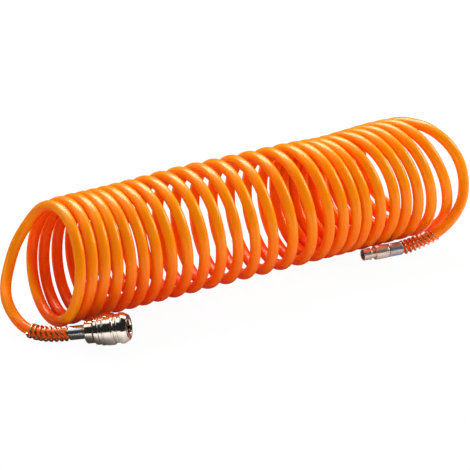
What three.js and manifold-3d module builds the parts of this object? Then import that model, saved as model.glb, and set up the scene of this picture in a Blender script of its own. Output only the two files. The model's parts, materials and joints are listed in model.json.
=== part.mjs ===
// A coiled compressed-air hose, ready to use: the plastic recoil hose lies in its coil, with a
// quick coupler on one tail and a plug on the other. Each end has a barbed stem, a crimped
// ferrule and a wire spring that keeps the hose from kinking where it leaves the ferrule.
//
// Millimetres, +Z up. The coil lies along X with the coupler's end at -X. The origin is on the
// floor, under the middle of the coil, and the fittings lie in front of it, on its -Y side.

import * as THREE from "three";
import { mergeVertices } from "three/addons/utils/BufferGeometryUtils.js";
import Module from "manifold-3d";

const wasm = await Module();
wasm.setup();

// ---------------------------------------------------------------- driving dimensions

const GAP = 0.3; // clearance between pieces that touch

// hose
const HOSE_D = 10;
const HOSE_BORE = 6.5;
const HOSE_SIDES = 8;
const HOSE_STEP = 10; // length of one straight stretch of a tail
const COIL_D = 112.7; // over the turns
const COIL_START = -198.5;
const COIL_END = 188.5;
const COIL_FACETS = 36; // one facet is the flat that the coil rests on

// ferrules and springs that hold the hose
const FERRULE_CLEARANCE = 0.35; // between the hose and its ferrule
const FERRULE_WALL = 0.85;
const FERRULE_D = HOSE_D + 2 * (FERRULE_CLEARANCE + FERRULE_WALL);
const COUPLER_FERRULE_LENGTH = 13;
const PLUG_FERRULE_LENGTH = 13.6;
const KINK_CLEARANCE = 0.65; // between the hose and its wire spring
const KINK_WIRE = 1.2;
const KINK_MEAN_D = HOSE_D + 2 * KINK_CLEARANCE + KINK_WIRE;
const KINK_PITCH = 4.4;
const KINK_TURNS = 8;

// quick coupler, along its own axis from the back of the rear body to the mouth
const REAR_BODY_D = 21.4;
const REAR_BODY_LENGTH = 8;
const REAR_CHAMFER = 0.8;
const SPIGOT_D = 14.4;
const SPIGOT_LENGTH = 2.5;
const THREAD_D = 7.8;
const THREAD_LENGTH = 6;
const AIR_BORE = 6.4;
const COUPLER_LENGTH = 38.5;
const BARREL_D = 16.8;
const BARREL_BORE = 13; // takes the plug's body
const MOUTH_D = 14.8; // flare at the face of the barrel
const MOUTH_FLARE = 1.2;
const SEAL_BORE = 10; // closes on the plug's nose
const SEAL_THICK = 2;
const SEAL_AT = 22; // middle of the front seal
const BALL_D = 3.6;
const BALL_COUNT = 4;
const BALL_SEGMENTS = 16;
const BALL_AT = 28.5;
const BALL_RELEASE = 1.9; // radial travel that frees the plug
const SLEEVE_TRAVEL = 4.5;
const SLEEVE_D = 28;
const RIB_STEP = 0.35; // steps between the sleeve's ribs and beads
const GROOVE_DEPTH = 1.7; // of the finger grooves
const NOSE_CONE_DEPTH = 3;
const SLEEVE_WIRE = 1.2;
const SLEEVE_SPRING_TURNS = 5.5;
const POPPET_D = 12.2;
const POPPET_DISC = 2.4;
const POPPET_BOSS = 1.2; // stands into the seal's bore
const POPPET_STEM_D = 4.4;
const VALVE_TRAVEL = 3.5;
const VALVE_WIRE = 0.7;
const VALVE_SPRING_TURNS = 4;

// plug, along its own axis from the mouth to the ferrule
const NOSE_D = 10.6;
const NOSE_LENGTH = 6.3;
const RIDGE_D = 11.4;
const RIDGE_LENGTH = 1.6;
const NECK_D = 9;
const NECK_LENGTH = 4.3;
const PLUG_BODY_D = 13.2;
const PLUG_BODY_LENGTH = 13.4;
const NOSE_BORE = 7.8;
const NECK_FLARE = 0.7; // the neck's ends open out over this length
const BODY_RIM = 1.4; // rounded step at the back of the body
const BODY_STEP = 0.45;
const AIR_WAY_STEP = 0.6; // the bore narrows by this in radius behind the nose
const AIR_WAY_DEPTH = 3; // from the neck's end to the cone
const AIR_WAY_CONE = 4;

// barbed stems inside the hose
const BARB_CLEARANCE = 0.35; // between a barb and the hose's bore
const BARB_HEIGHT = 0.4;
const BARB_D = HOSE_BORE - 2 * BARB_CLEARANCE;
const BARB_ROOT_D = BARB_D - 2 * BARB_HEIGHT;
const BARB_COUNT = 3;
const BARBED_LENGTH = 11.6;
const STEM_WALL = 0.7;
const STEM_BORE = BARB_ROOT_D - 2 * STEM_WALL;
const STEM_COLLAR_D = 13;
const STEM_COLLAR = 1.6;

// how finely the pieces are cut
const FINE = 36; // segments round the sleeve and the rear body
const ROUND = 32; // segments round every other turned piece
const WIRE_SIDES = 5;
const WIRE_STEPS = 12; // to each turn of a spring
const CHAMFER = 0.35; // on the edges of turned pieces

// where the fittings lie
const COUPLER_PLACE = new THREE.Vector3(-191.8, -54.4, 11.6); // middle of the rear body's back
const COUPLER_YAW = THREE.MathUtils.degToRad(-41); // it points forward of the coil
const COUPLER_TILT = THREE.MathUtils.degToRad(11); // its mouth stands up from the floor
const PLUG_PLACE = new THREE.Vector3(106.8, -37.7, 6.95); // middle of the plug's mouth
const PLUG_YAW = THREE.MathUtils.degToRad(-8);

// Hand-laid routes of the two tails, from the end of the coil to the spring.
const COUPLER_TAIL = [
  [-198.8, -6, 107.3],
  [-202.8, -6, 107.3],
  [-209, -6, 106.3],
  [-216, -6.2, 103.3],
  [-222, -6.2, 98.5],
  [-227.5, -5.2, 90.5],
  [-233.5, -1.5, 74],
  [-237.5, 2, 58.5],
  [-239.3, 4, 44],
  [-239.3, 3, 31],
  [-237, -2.5, 20],
  [-232.5, -11.5, 12.2],
  [-226.5, -21.5, 8.4],
  [-218, -31.8, 7.3],
];
const PLUG_TAIL = [
  [188.8, 8, 107.1],
  [192.8, 8, 107.1],
  [200.5, 7, 106.9],
  [208.5, 3.3, 106],
  [215.5, -3.5, 104.3],
  [220.5, -15, 100],
  [221, -29, 93],
  [217.5, -42, 82],
  [212.5, -52, 68],
  [207, -57.5, 52.5],
  [201, -59, 37.5],
  [193, -56.5, 23.5],
  [182, -51.5, 13.2],
  [170, -47.4, 8.4],
  [158, -44.9, 7.1],
];

// ---------------------------------------------------------------- finishes

const orangeHose = new THREE.MeshStandardMaterial({ color: 0xff6a00, roughness: 0.25 });
const nickel = new THREE.MeshStandardMaterial({ color: 0xd8cdbd, roughness: 0.2, metalness: 1 });
const zinc = new THREE.MeshStandardMaterial({ color: 0xb4b8bc, roughness: 0.35, metalness: 1 });
const springSteel = new THREE.MeshStandardMaterial({ color: 0xa8a39c, roughness: 0.3, metalness: 1 });
const brass = new THREE.MeshStandardMaterial({ color: 0xc9a24b, roughness: 0.35, metalness: 1 });
const rubber = new THREE.MeshStandardMaterial({ color: 0x151515, roughness: 0.8 });

// ---------------------------------------------------------------- building helpers

/** Six times the signed volume of an indexed geometry. */
function signedVolume(geometry) {
  const at = geometry.getAttribute("position");
  const index = geometry.index.array;
  const [a, b, c] = [new THREE.Vector3(), new THREE.Vector3(), new THREE.Vector3()];
  let sum = 0;
  for (let i = 0; i < index.length; i += 3) {
    a.fromBufferAttribute(at, index[i]);
    b.fromBufferAttribute(at, index[i + 1]);
    c.fromBufferAttribute(at, index[i + 2]);
    sum += a.dot(b.cross(c));
  }
  return sum;
}

/** The geometry with its vertices merged and its faces turned outwards. */
function closed(geometry) {
  const bare = geometry.clone();
  bare.deleteAttribute("normal");
  bare.deleteAttribute("uv");
  const merged = mergeVertices(bare, 1e-4);
  if (signedVolume(merged) < 0) merged.index.array.reverse();
  return merged;
}

/** A solid turned about X from a closed outline of [axial place, radius] points. */
function turned(outline, segments = ROUND) {
  const points = [...outline, outline[0]].map(([along, radius]) => new THREE.Vector2(radius, along));
  return closed(new THREE.LatheGeometry(points, segments).rotateZ(-Math.PI / 2));
}

/** A plain ring about X. */
function ring(from, to, inner, outer, segments = ROUND) {
  return turned([[from, inner], [to, inner], [to, outer], [from, outer]], segments);
}

/** The same outline mirrored end for end, so that a profile can be drawn from either side. */
function reversed(outline) {
  return outline.map(([along, radius]) => [-along, radius]);
}

/** A manifold-3d solid of a closed geometry. */
function solidOf(geometry) {
  return new wasm.Manifold(
    new wasm.Mesh({
      numProp: 3,
      vertProperties: new Float32Array(geometry.getAttribute("position").array),
      triVerts: new Uint32Array(geometry.index.array),
    }),
  );
}

/** A geometry made back from a manifold-3d solid. */
function geometryOf(solid) {
  const mesh = solid.getMesh();
  return new THREE.BufferGeometry()
    .setAttribute("position", new THREE.BufferAttribute(new Float32Array(mesh.vertProperties), 3))
    .setIndex(new THREE.BufferAttribute(new Uint32Array(mesh.triVerts), 1));
}

/** A named mesh. */
function piece(name, geometry, material) {
  const mesh = new THREE.Mesh(geometry, material);
  mesh.name = name;
  return mesh;
}

/** A round section for an extrusion, as a polygon whose corners lie on the stated diameter. */
function roundShape(diameter, sides) {
  const radius = diameter / 2;
  const corners = Array.from({ length: sides }, (_, i) => {
    const angle = (2 * Math.PI * i) / sides;
    return new THREE.Vector2(radius * Math.cos(angle), radius * Math.sin(angle));
  });
  return new THREE.Shape(corners);
}

/** Wire of a round section drawn along a curve. */
function wireAlong(path, diameter, turns) {
  const shape = roundShape(diameter, WIRE_SIDES);
  const steps = Math.round(turns * WIRE_STEPS);
  return closed(new THREE.ExtrudeGeometry(shape, { steps, extrudePath: path, bevelEnabled: false }));
}

/** A helical spring about X, its wire's middle running from one place to the other. */
class StraightSpring extends THREE.Curve {
  constructor(from, to, meanDiameter, turns) {
    super();
    Object.assign(this, { from, to, meanDiameter, turns });
  }

  getPoint(t, target = new THREE.Vector3()) {
    const angle = 2 * Math.PI * this.turns * t;
    const radius = this.meanDiameter / 2;
    const along = this.from + (this.to - this.from) * t;
    return target.set(along, radius * Math.cos(angle), radius * Math.sin(angle));
  }
}

/** A right-handed spring wound round a stretch of a path that lies nearly level. */
class GuardSpring extends THREE.Curve {
  constructor(path, fromLength, toLength, meanDiameter, turns) {
    super();
    Object.assign(this, { path, fromLength, toLength, meanDiameter, turns });
    this.total = path.getLength();
  }

  getPoint(t, target = new THREE.Vector3()) {
    const share = (this.fromLength + (this.toLength - this.fromLength) * t) / this.total;
    const middle = this.path.getPointAt(share);
    const ahead = this.path.getTangentAt(share);
    const side = new THREE.Vector3(0, 0, 1).cross(ahead).normalize();
    const over = ahead.clone().cross(side);
    const angle = 2 * Math.PI * this.turns * t;
    const radius = this.meanDiameter / 2;
    return target
      .copy(middle)
      .addScaledVector(side, radius * Math.cos(angle))
      .addScaledVector(over, radius * Math.sin(angle));
  }
}

/** The barbed end of a stem: outline points from the collar out to the tip, towards -X. */
function barbs(from, length) {
  const pitch = length / BARB_COUNT;
  const points = [];
  for (let i = 0; i < BARB_COUNT; i++) {
    const at = from - i * pitch;
    points.push([at, BARB_ROOT_D / 2], [at - pitch * 0.3, BARB_ROOT_D / 2]);
    points.push([at - pitch * 0.3, BARB_D / 2], [at - pitch, BARB_ROOT_D / 2]);
  }
  return points;
}

// ---------------------------------------------------------------- hose

/** The coil's outer shape: a round sleeve of the turns' thickness that rests on one flat. */
function hoseCoil() {
  const outer = COIL_D / 2 / Math.cos(Math.PI / COIL_FACETS);
  const geometry = ring(COIL_START, COIL_END, outer - HOSE_D, outer, COIL_FACETS);
  geometry.rotateX(Math.PI / COIL_FACETS).translate(0, 0, COIL_D / 2);
  return piece("hose_coil", geometry, orangeHose);
}

/** A tail's path: the hand-laid points, then straight into the ferrule as far as the stem. */
function tailPath(route, ferruleMouth, hoseEnd) {
  const points = route.map((point) => new THREE.Vector3(...point));
  const inside = ferruleMouth.clone().lerp(hoseEnd, 0.5);
  return new THREE.CatmullRomCurve3([...points, ferruleMouth, inside, hoseEnd], false, "centripetal");
}

/** A tail of the hose, a real tube with its bore. */
function hoseTail(name, path) {
  const shape = roundShape(HOSE_D, HOSE_SIDES);
  const bore = roundShape(HOSE_BORE / Math.cos(Math.PI / HOSE_SIDES), HOSE_SIDES);
  shape.holes.push(new THREE.Path(bore.getPoints(1)));
  const steps = Math.round(path.getLength() / HOSE_STEP);
  const geometry = new THREE.ExtrudeGeometry(shape, { steps, extrudePath: path, bevelEnabled: false });
  return piece(name, closed(geometry), orangeHose);
}

/** The wire spring that guards the hose behind its ferrule. */
function kinkSpring(name, path, ferruleLength) {
  const end = path.getLength() - ferruleLength - KINK_WIRE / 2 - GAP;
  const start = end - KINK_PITCH * KINK_TURNS;
  const curve = new GuardSpring(path, start, end, KINK_MEAN_D, KINK_TURNS);
  return piece(name, wireAlong(curve, KINK_WIRE, KINK_TURNS), springSteel);
}

/** A ferrule about X between two places, chamfered outside. */
function ferrule(name, from, to) {
  const outer = FERRULE_D / 2;
  const outline = [
    [from, outer - FERRULE_WALL],
    [to, outer - FERRULE_WALL],
    [to, outer - CHAMFER],
    [to - CHAMFER, outer],
    [from + CHAMFER, outer],
    [from, outer - CHAMFER],
  ];
  return piece(name, turned(outline), zinc);
}

// ---------------------------------------------------------------- quick coupler

const FERRULE_FRONT = -STEM_COLLAR - 2 * GAP; // ahead of it is the stem's collar
const FERRULE_BACK = FERRULE_FRONT - COUPLER_FERRULE_LENGTH;
const HOSE_FRONT = FERRULE_FRONT - GAP;
const BARREL_BACK = REAR_BODY_LENGTH + GAP;
const CHAMBER_BACK = REAR_BODY_LENGTH + SPIGOT_LENGTH + GAP;
const SEAL_BACK = SEAL_AT - SEAL_THICK / 2;
const SEAL_GROOVE = SEAL_THICK / 2 + GAP;
const CHAMBER_D = POPPET_D + 1;
const SEAL_GROOVE_D = BARREL_BORE + 1.8;
const LAND_D = BARREL_D + 0.8; // holds the balls down into the plug's neck
const BALL_LOCKED = BARREL_BORE / 2; // radius of the balls' middles with the plug locked
const RAMP_LENGTH = SLEEVE_TRAVEL; // the ramp lifts the balls all along the sleeve's travel
const RELEASE_D = LAND_D + 2 * BALL_RELEASE;
const RELEASE_FRONT = BALL_AT + RAMP_LENGTH + BALL_D / 2 + GAP + 0.1;
const LIP = 1.2;
const SLEEVE_BACK = REAR_BODY_LENGTH + 2 * GAP;
const SLEEVE_FRONT = COUPLER_LENGTH - GAP;
const SKIRT_D = REAR_BODY_D + 0.7;
const SHOULDER = BALL_AT - SLEEVE_TRAVEL;
const CLIP_BACK = RELEASE_FRONT + LIP + GAP + 0.2;
const CLIP_THICK = 0.7;
const CLIP_D = 19.2;
const CLIP_SEAT_D = 15.4;

/** The stem that is screwed into the rear body and pushed into the hose. */
function couplerStem() {
  const outline = [
    [THREAD_LENGTH, STEM_BORE / 2],
    [THREAD_LENGTH, THREAD_D / 2 - CHAMFER],
    [THREAD_LENGTH - CHAMFER, THREAD_D / 2],
    [-GAP, THREAD_D / 2],
    [-GAP, STEM_COLLAR_D / 2],
    [-GAP - STEM_COLLAR, STEM_COLLAR_D / 2],
    ...barbs(-GAP - STEM_COLLAR, BARBED_LENGTH),
    [-GAP - STEM_COLLAR - BARBED_LENGTH, STEM_BORE / 2],
  ];
  return piece("coupler_stem", turned(outline), brass);
}

/** The round rear body, which closes the barrel and seats both springs. */
function couplerRearBody() {
  const outer = REAR_BODY_D / 2;
  const counterbore = THREAD_D / 2 + GAP;
  const spigotEnd = REAR_BODY_LENGTH + SPIGOT_LENGTH;
  const outline = [
    [0, counterbore],
    [THREAD_LENGTH + GAP, counterbore],
    [THREAD_LENGTH + GAP, AIR_BORE / 2],
    [spigotEnd, AIR_BORE / 2],
    [spigotEnd, SPIGOT_D / 2],
    [REAR_BODY_LENGTH, SPIGOT_D / 2],
    [REAR_BODY_LENGTH, outer - REAR_CHAMFER],
    [REAR_BODY_LENGTH - REAR_CHAMFER, outer],
    [REAR_CHAMFER, outer],
    [0, outer - REAR_CHAMFER],
  ];
  return piece("coupler_rear_body", turned(outline, FINE), nickel);
}

/** The barrel: valve chamber, seal groove, bore for the plug and the holes for the balls. */
function couplerBarrel() {
  const outer = BARREL_D / 2;
  const seatFront = CLIP_BACK + CLIP_THICK + GAP;
  const outline = [
    [BARREL_BACK, SPIGOT_D / 2 + GAP],
    [CHAMBER_BACK, SPIGOT_D / 2 + GAP],
    [CHAMBER_BACK, CHAMBER_D / 2],
    [SEAL_AT - SEAL_GROOVE, CHAMBER_D / 2],
    [SEAL_AT - SEAL_GROOVE, SEAL_GROOVE_D / 2],
    [SEAL_AT + SEAL_GROOVE, SEAL_GROOVE_D / 2],
    [SEAL_AT + SEAL_GROOVE, BARREL_BORE / 2],
    [COUPLER_LENGTH - MOUTH_FLARE, BARREL_BORE / 2],
    [COUPLER_LENGTH, MOUTH_D / 2],
    [COUPLER_LENGTH, outer],
    [seatFront, outer],
    [seatFront, CLIP_SEAT_D / 2],
    [CLIP_BACK - GAP, CLIP_SEAT_D / 2],
    [CLIP_BACK - GAP, outer],
    [BARREL_BACK, outer],
  ];
  let solid = solidOf(turned(outline));
  const radius = BALL_D / 2 + GAP;
  const hole = new THREE.CylinderGeometry(radius, radius, BARREL_D, BALL_SEGMENTS);
  hole.translate(0, BARREL_D / 2, 0);
  for (const angle of ballAngles()) {
    const cutter = hole.clone().rotateX(angle).translate(BALL_AT, 0, 0);
    solid = solid.subtract(solidOf(closed(cutter)));
  }
  return piece("coupler_barrel", geometryOf(solid), nickel);
}

/** Angles about the coupler's axis at which the balls sit, measured from its +Y. */
function ballAngles() {
  return Array.from({ length: BALL_COUNT }, (_, i) => (2 * Math.PI * (i + 0.5)) / BALL_COUNT);
}

/** One locking ball, at its locked place. */
function lockingBall(index, angle) {
  const ball = new THREE.SphereGeometry(BALL_D / 2, BALL_SEGMENTS, BALL_SEGMENTS / 2);
  ball.translate(BALL_AT, BALL_LOCKED, 0).rotateX(angle);
  return piece(`locking_ball_${index + 1}`, closed(ball), springSteel);
}

/** The sliding sleeve: finger ribs outside, and the land, ramp and release groove inside. */
function couplerSleeve() {
  const outer = SLEEVE_D / 2;
  const rib = outer - RIB_STEP;
  const groove = outer - GROOVE_DEPTH;
  const bead = groove + RIB_STEP;
  const noseEdge = outer - NOSE_CONE_DEPTH;
  const outside = [
    [SLEEVE_FRONT, noseEdge],
    [SLEEVE_FRONT - 3.8, outer - 2 * RIB_STEP],
    [SLEEVE_FRONT - 4.1, outer - 2 * RIB_STEP],
    [SLEEVE_FRONT - 4.5, rib],
    [SLEEVE_FRONT - 7.6, rib],
    [SLEEVE_FRONT - 8.3, groove],
    [SLEEVE_FRONT - 9.2, groove],
    [SLEEVE_FRONT - 9.5, bead],
    [SLEEVE_FRONT - 11.2, bead],
    [SLEEVE_FRONT - 11.5, groove],
    [SLEEVE_FRONT - 12.8, groove],
    [SLEEVE_FRONT - 13.6, outer],
    [SLEEVE_FRONT - 19.7, outer],
    [SLEEVE_FRONT - 20.5, outer - 3 * RIB_STEP],
    [SLEEVE_FRONT - 21.3, outer - 3 * RIB_STEP],
    [SLEEVE_FRONT - 22, rib],
    [SLEEVE_FRONT - 24.2, rib],
    [SLEEVE_FRONT - 25.2, groove],
    [SLEEVE_FRONT - 26.3, groove],
    [SLEEVE_FRONT - 26.8, bead],
    [SLEEVE_BACK + 2 * CHAMFER, bead],
    [SLEEVE_BACK, groove],
  ];
  const inside = [
    [SLEEVE_BACK, SKIRT_D / 2],
    [SHOULDER, SKIRT_D / 2],
    [SHOULDER, LAND_D / 2],
    [BALL_AT, LAND_D / 2],
    [BALL_AT + RAMP_LENGTH, RELEASE_D / 2],
    [RELEASE_FRONT, RELEASE_D / 2],
    [RELEASE_FRONT, LAND_D / 2],
    [RELEASE_FRONT + LIP, LAND_D / 2],
    [RELEASE_FRONT + LIP, CLIP_D / 2 + GAP],
    [SLEEVE_FRONT, CLIP_D / 2 + GAP],
  ];
  return piece("coupler_sleeve", turned([...outside, ...inside], FINE), nickel);
}

/** The wire clip on the barrel that stops the sleeve at the front. */
function retainingClip() {
  const inner = CLIP_SEAT_D / 2 + GAP;
  const geometry = ring(CLIP_BACK, CLIP_BACK + CLIP_THICK, inner, CLIP_D / 2);
  return piece("sleeve_retaining_clip", geometry, springSteel);
}

/** The spring that pushes the sleeve forward over the balls. */
function sleeveSpring() {
  const mean = (BARREL_D + SKIRT_D) / 2;
  const from = REAR_BODY_LENGTH + GAP + SLEEVE_WIRE / 2;
  const curve = new StraightSpring(from, SHOULDER - GAP - SLEEVE_WIRE / 2, mean, SLEEVE_SPRING_TURNS);
  return piece("sleeve_spring", wireAlong(curve, SLEEVE_WIRE, SLEEVE_SPRING_TURNS), springSteel);
}

const POPPET_FRONT = SEAL_BACK - GAP - 0.1;
const POPPET_BACK = POPPET_FRONT - POPPET_DISC;

/** The valve poppet: a disc that closes on the seal, its nose, and the guide stem behind. */
function valvePoppet() {
  const stemEnd = REAR_BODY_LENGTH + VALVE_TRAVEL;
  const boss = SEAL_BORE / 2 - 2 * GAP;
  const outline = [
    [POPPET_FRONT + POPPET_BOSS, 0],
    [POPPET_FRONT + POPPET_BOSS, boss - CHAMFER],
    [POPPET_FRONT, boss],
    [POPPET_FRONT, POPPET_D / 2 - CHAMFER],
    [POPPET_FRONT - CHAMFER, POPPET_D / 2],
    [POPPET_BACK, POPPET_D / 2],
    [POPPET_BACK, POPPET_STEM_D / 2],
    [stemEnd + CHAMFER, POPPET_STEM_D / 2],
    [stemEnd, POPPET_STEM_D / 2 - CHAMFER],
    [stemEnd, 0],
  ];
  return piece("valve_poppet", turned(outline), brass);
}

/** The spring that holds the poppet on its seat. */
function valveSpring() {
  const mean = (POPPET_STEM_D + CHAMBER_D) / 2;
  const from = CHAMBER_BACK + VALVE_WIRE / 2;
  const curve = new StraightSpring(from, POPPET_BACK - GAP - VALVE_WIRE / 2, mean, VALVE_SPRING_TURNS);
  return piece("valve_spring", wireAlong(curve, VALVE_WIRE, VALVE_SPRING_TURNS), springSteel);
}

/** The rubber ring that seals on the plug's nose and seats the valve. */
function frontSeal() {
  const outer = SEAL_GROOVE_D / 2 - GAP;
  const inner = SEAL_BORE / 2;
  const half = SEAL_THICK / 2;
  const outline = [
    [SEAL_AT - half, inner + CHAMFER],
    [SEAL_AT - half / 2, inner],
    [SEAL_AT + half / 2, inner],
    [SEAL_AT + half, inner + CHAMFER],
    [SEAL_AT + half, outer],
    [SEAL_AT - half, outer],
  ];
  return piece("front_seal", turned(outline), rubber);
}

// ---------------------------------------------------------------- plug

const PLUG_NECK_AT = NOSE_LENGTH + RIDGE_LENGTH;
const PLUG_BODY_AT = PLUG_NECK_AT + NECK_LENGTH;
const PLUG_BODY_END = PLUG_BODY_AT + PLUG_BODY_LENGTH;
const PLUG_FERRULE_FRONT = PLUG_BODY_END + GAP;

/** The plug: nose, ridge, the neck that the balls catch, its body and the barbed tail. */
function plugNipple() {
  const body = PLUG_BODY_D / 2;
  const airWay = NOSE_BORE / 2 - AIR_WAY_STEP;
  const outline = [
    [0, NOSE_BORE / 2 + CHAMFER],
    [0, NOSE_D / 2 - CHAMFER],
    [CHAMFER, NOSE_D / 2],
    [NOSE_LENGTH, NOSE_D / 2],
    [NOSE_LENGTH + CHAMFER, RIDGE_D / 2],
    [PLUG_NECK_AT - CHAMFER, RIDGE_D / 2],
    [PLUG_NECK_AT + NECK_FLARE, NECK_D / 2],
    [PLUG_BODY_AT - NECK_FLARE, NECK_D / 2],
    [PLUG_BODY_AT, body - CHAMFER],
    [PLUG_BODY_AT + CHAMFER, body],
    [PLUG_BODY_END - BODY_RIM, body],
    [PLUG_BODY_END - BODY_RIM + CHAMFER, body - BODY_STEP],
    [PLUG_BODY_END - BODY_RIM + 2 * CHAMFER, body - BODY_STEP],
    [PLUG_BODY_END, body - 2 * BODY_STEP],
    ...reversed(barbs(-PLUG_BODY_END, BARBED_LENGTH)),
    [PLUG_BODY_END + BARBED_LENGTH, STEM_BORE / 2],
    [PLUG_BODY_AT + AIR_WAY_DEPTH + AIR_WAY_CONE, STEM_BORE / 2],
    [PLUG_BODY_AT + AIR_WAY_DEPTH, airWay],
    [NOSE_LENGTH, airWay],
    [NOSE_LENGTH - RIDGE_LENGTH, NOSE_BORE / 2],
    [CHAMFER, NOSE_BORE / 2],
  ];
  return piece("plug_nipple", turned(outline), nickel);
}

// ---------------------------------------------------------------- the whole hose

const root = new THREE.Group();
root.add(hoseCoil());

const coupler = new THREE.Group();
coupler.position.copy(COUPLER_PLACE);
coupler.rotation.set(0, -COUPLER_TILT, COUPLER_YAW, "ZYX");
coupler.add(
  couplerStem(),
  ferrule("coupler_ferrule", FERRULE_BACK, FERRULE_FRONT),
  couplerRearBody(),
  couplerBarrel(),
  couplerSleeve(),
  sleeveSpring(),
  retainingClip(),
  valvePoppet(),
  valveSpring(),
  frontSeal(),
  ...ballAngles().map((angle, index) => lockingBall(index, angle)),
);
root.add(coupler);

const plug = new THREE.Group();
plug.position.copy(PLUG_PLACE);
plug.rotation.z = PLUG_YAW;
const plugFerruleBack = PLUG_FERRULE_FRONT + PLUG_FERRULE_LENGTH;
plug.add(plugNipple(), ferrule("plug_ferrule", PLUG_FERRULE_FRONT, plugFerruleBack));
root.add(plug);

root.updateMatrixWorld(true);
const couplerPath = tailPath(
  COUPLER_TAIL,
  coupler.localToWorld(new THREE.Vector3(FERRULE_BACK, 0, 0)),
  coupler.localToWorld(new THREE.Vector3(HOSE_FRONT, 0, 0)),
);
const plugPath = tailPath(
  PLUG_TAIL,
  plug.localToWorld(new THREE.Vector3(plugFerruleBack, 0, 0)),
  plug.localToWorld(new THREE.Vector3(PLUG_FERRULE_FRONT + GAP, 0, 0)),
);
root.add(
  hoseTail("hose_tail_coupler", couplerPath),
  hoseTail("hose_tail_plug", plugPath),
  kinkSpring("coupler_kink_spring", couplerPath, COUPLER_FERRULE_LENGTH - GAP),
  kinkSpring("plug_kink_spring", plugPath, PLUG_FERRULE_LENGTH - GAP),
);

export default root;
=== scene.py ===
"""A coiled compressed-air hose: the plastic coil, its quick coupler and its plug.

Metres, +Z up, in the frame of the CAD model. The coil lies along X with the coupler's end at -X,
and both fittings lie on the floor in front of it, on its -Y side.
"""

import json
import logging
import math
from dataclasses import dataclass
from enum import Enum
from typing import Any, Iterable, Mapping, Optional, Sequence, Union

import bmesh
import bpy
from mathutils import Euler, Matrix, Vector
from mathutils.geometry import interpolate_bezier

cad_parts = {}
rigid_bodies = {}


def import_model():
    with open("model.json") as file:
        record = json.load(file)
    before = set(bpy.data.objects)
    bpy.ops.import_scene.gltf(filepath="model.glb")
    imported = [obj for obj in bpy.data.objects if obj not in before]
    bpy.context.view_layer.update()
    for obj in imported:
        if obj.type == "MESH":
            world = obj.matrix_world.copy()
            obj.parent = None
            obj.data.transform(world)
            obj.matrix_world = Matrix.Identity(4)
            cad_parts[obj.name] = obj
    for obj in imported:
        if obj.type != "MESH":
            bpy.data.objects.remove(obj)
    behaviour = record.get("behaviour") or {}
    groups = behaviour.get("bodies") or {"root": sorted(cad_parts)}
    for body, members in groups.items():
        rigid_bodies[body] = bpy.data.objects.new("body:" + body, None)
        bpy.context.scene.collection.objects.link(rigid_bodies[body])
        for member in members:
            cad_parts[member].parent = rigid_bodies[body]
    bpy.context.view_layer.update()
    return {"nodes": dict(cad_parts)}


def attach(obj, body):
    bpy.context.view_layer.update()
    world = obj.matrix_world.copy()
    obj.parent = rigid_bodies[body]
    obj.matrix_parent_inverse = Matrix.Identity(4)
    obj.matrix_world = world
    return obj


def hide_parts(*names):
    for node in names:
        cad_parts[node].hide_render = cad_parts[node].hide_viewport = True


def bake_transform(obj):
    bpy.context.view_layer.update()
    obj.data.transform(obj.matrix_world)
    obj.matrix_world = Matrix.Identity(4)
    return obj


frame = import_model()

log = logging.getLogger("air_hose")

MM = 0.001
GROOVE_STEPS = 16
Outline = Sequence[tuple[float, float]]


class Body(Enum):
    """The bodies of the frame that pieces ride on."""

    HOSE = "hose"
    SLEEVE = "sleeve"
    VALVE = "valve"
    BALL = "ball_{}"


class Slot(Enum):
    """The record's material slots."""

    HOSE = "hose"
    NICKEL = "nickel"
    ZINC = "zinc"
    SPRING_STEEL = "spring_steel"
    BRASS = "brass"
    RUBBER = "rubber"


# ------------------------------------------------------------------------------- shader building


@dataclass(frozen=True)
class Value:
    """A socket with the arithmetic of numbers: each operator adds one Math node."""

    shader: "Shader"
    socket: bpy.types.NodeSocket

    def _math(self, operation: str, first: Any, second: Any) -> "Value":
        """One Math node of two numbers.

        Args:
            operation: the Math node's operation.
            first: the value or socket of its first input.
            second: the value or socket of its second input.

        Returns:
            The node's result.
        """
        node = self.shader.node("ShaderNodeMath", {"operation": operation}, {0: first, 1: second})
        return Value(self.shader, node.outputs[0])

    def __add__(self, other: Any) -> "Value":
        """The sum."""
        return self._math("ADD", self, other)

    __radd__ = __add__

    def __sub__(self, other: Any) -> "Value":
        """The difference."""
        return self._math("SUBTRACT", self, other)

    def __rsub__(self, other: Any) -> "Value":
        """The difference, taken from a number."""
        return self._math("SUBTRACT", other, self)

    def __mul__(self, other: Any) -> "Value":
        """The product."""
        return self._math("MULTIPLY", self, other)

    __rmul__ = __mul__

    def rise(self, start: float, end: float, low: float = 0.0, high: float = 1.0) -> "Value":
        """A smooth step.

        Args:
            start: where the step starts.
            end: where it ends.
            low: the result before it.
            high: the result after it.

        Returns:
            The stepped value.
        """
        settings = {"interpolation_type": "SMOOTHSTEP"}
        inputs = {"Value": self, "From Min": start, "From Max": end, "To Min": low, "To Max": high}
        stepped = self.shader.node("ShaderNodeMapRange", settings, inputs)
        return Value(self.shader, stepped.outputs[0])


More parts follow.
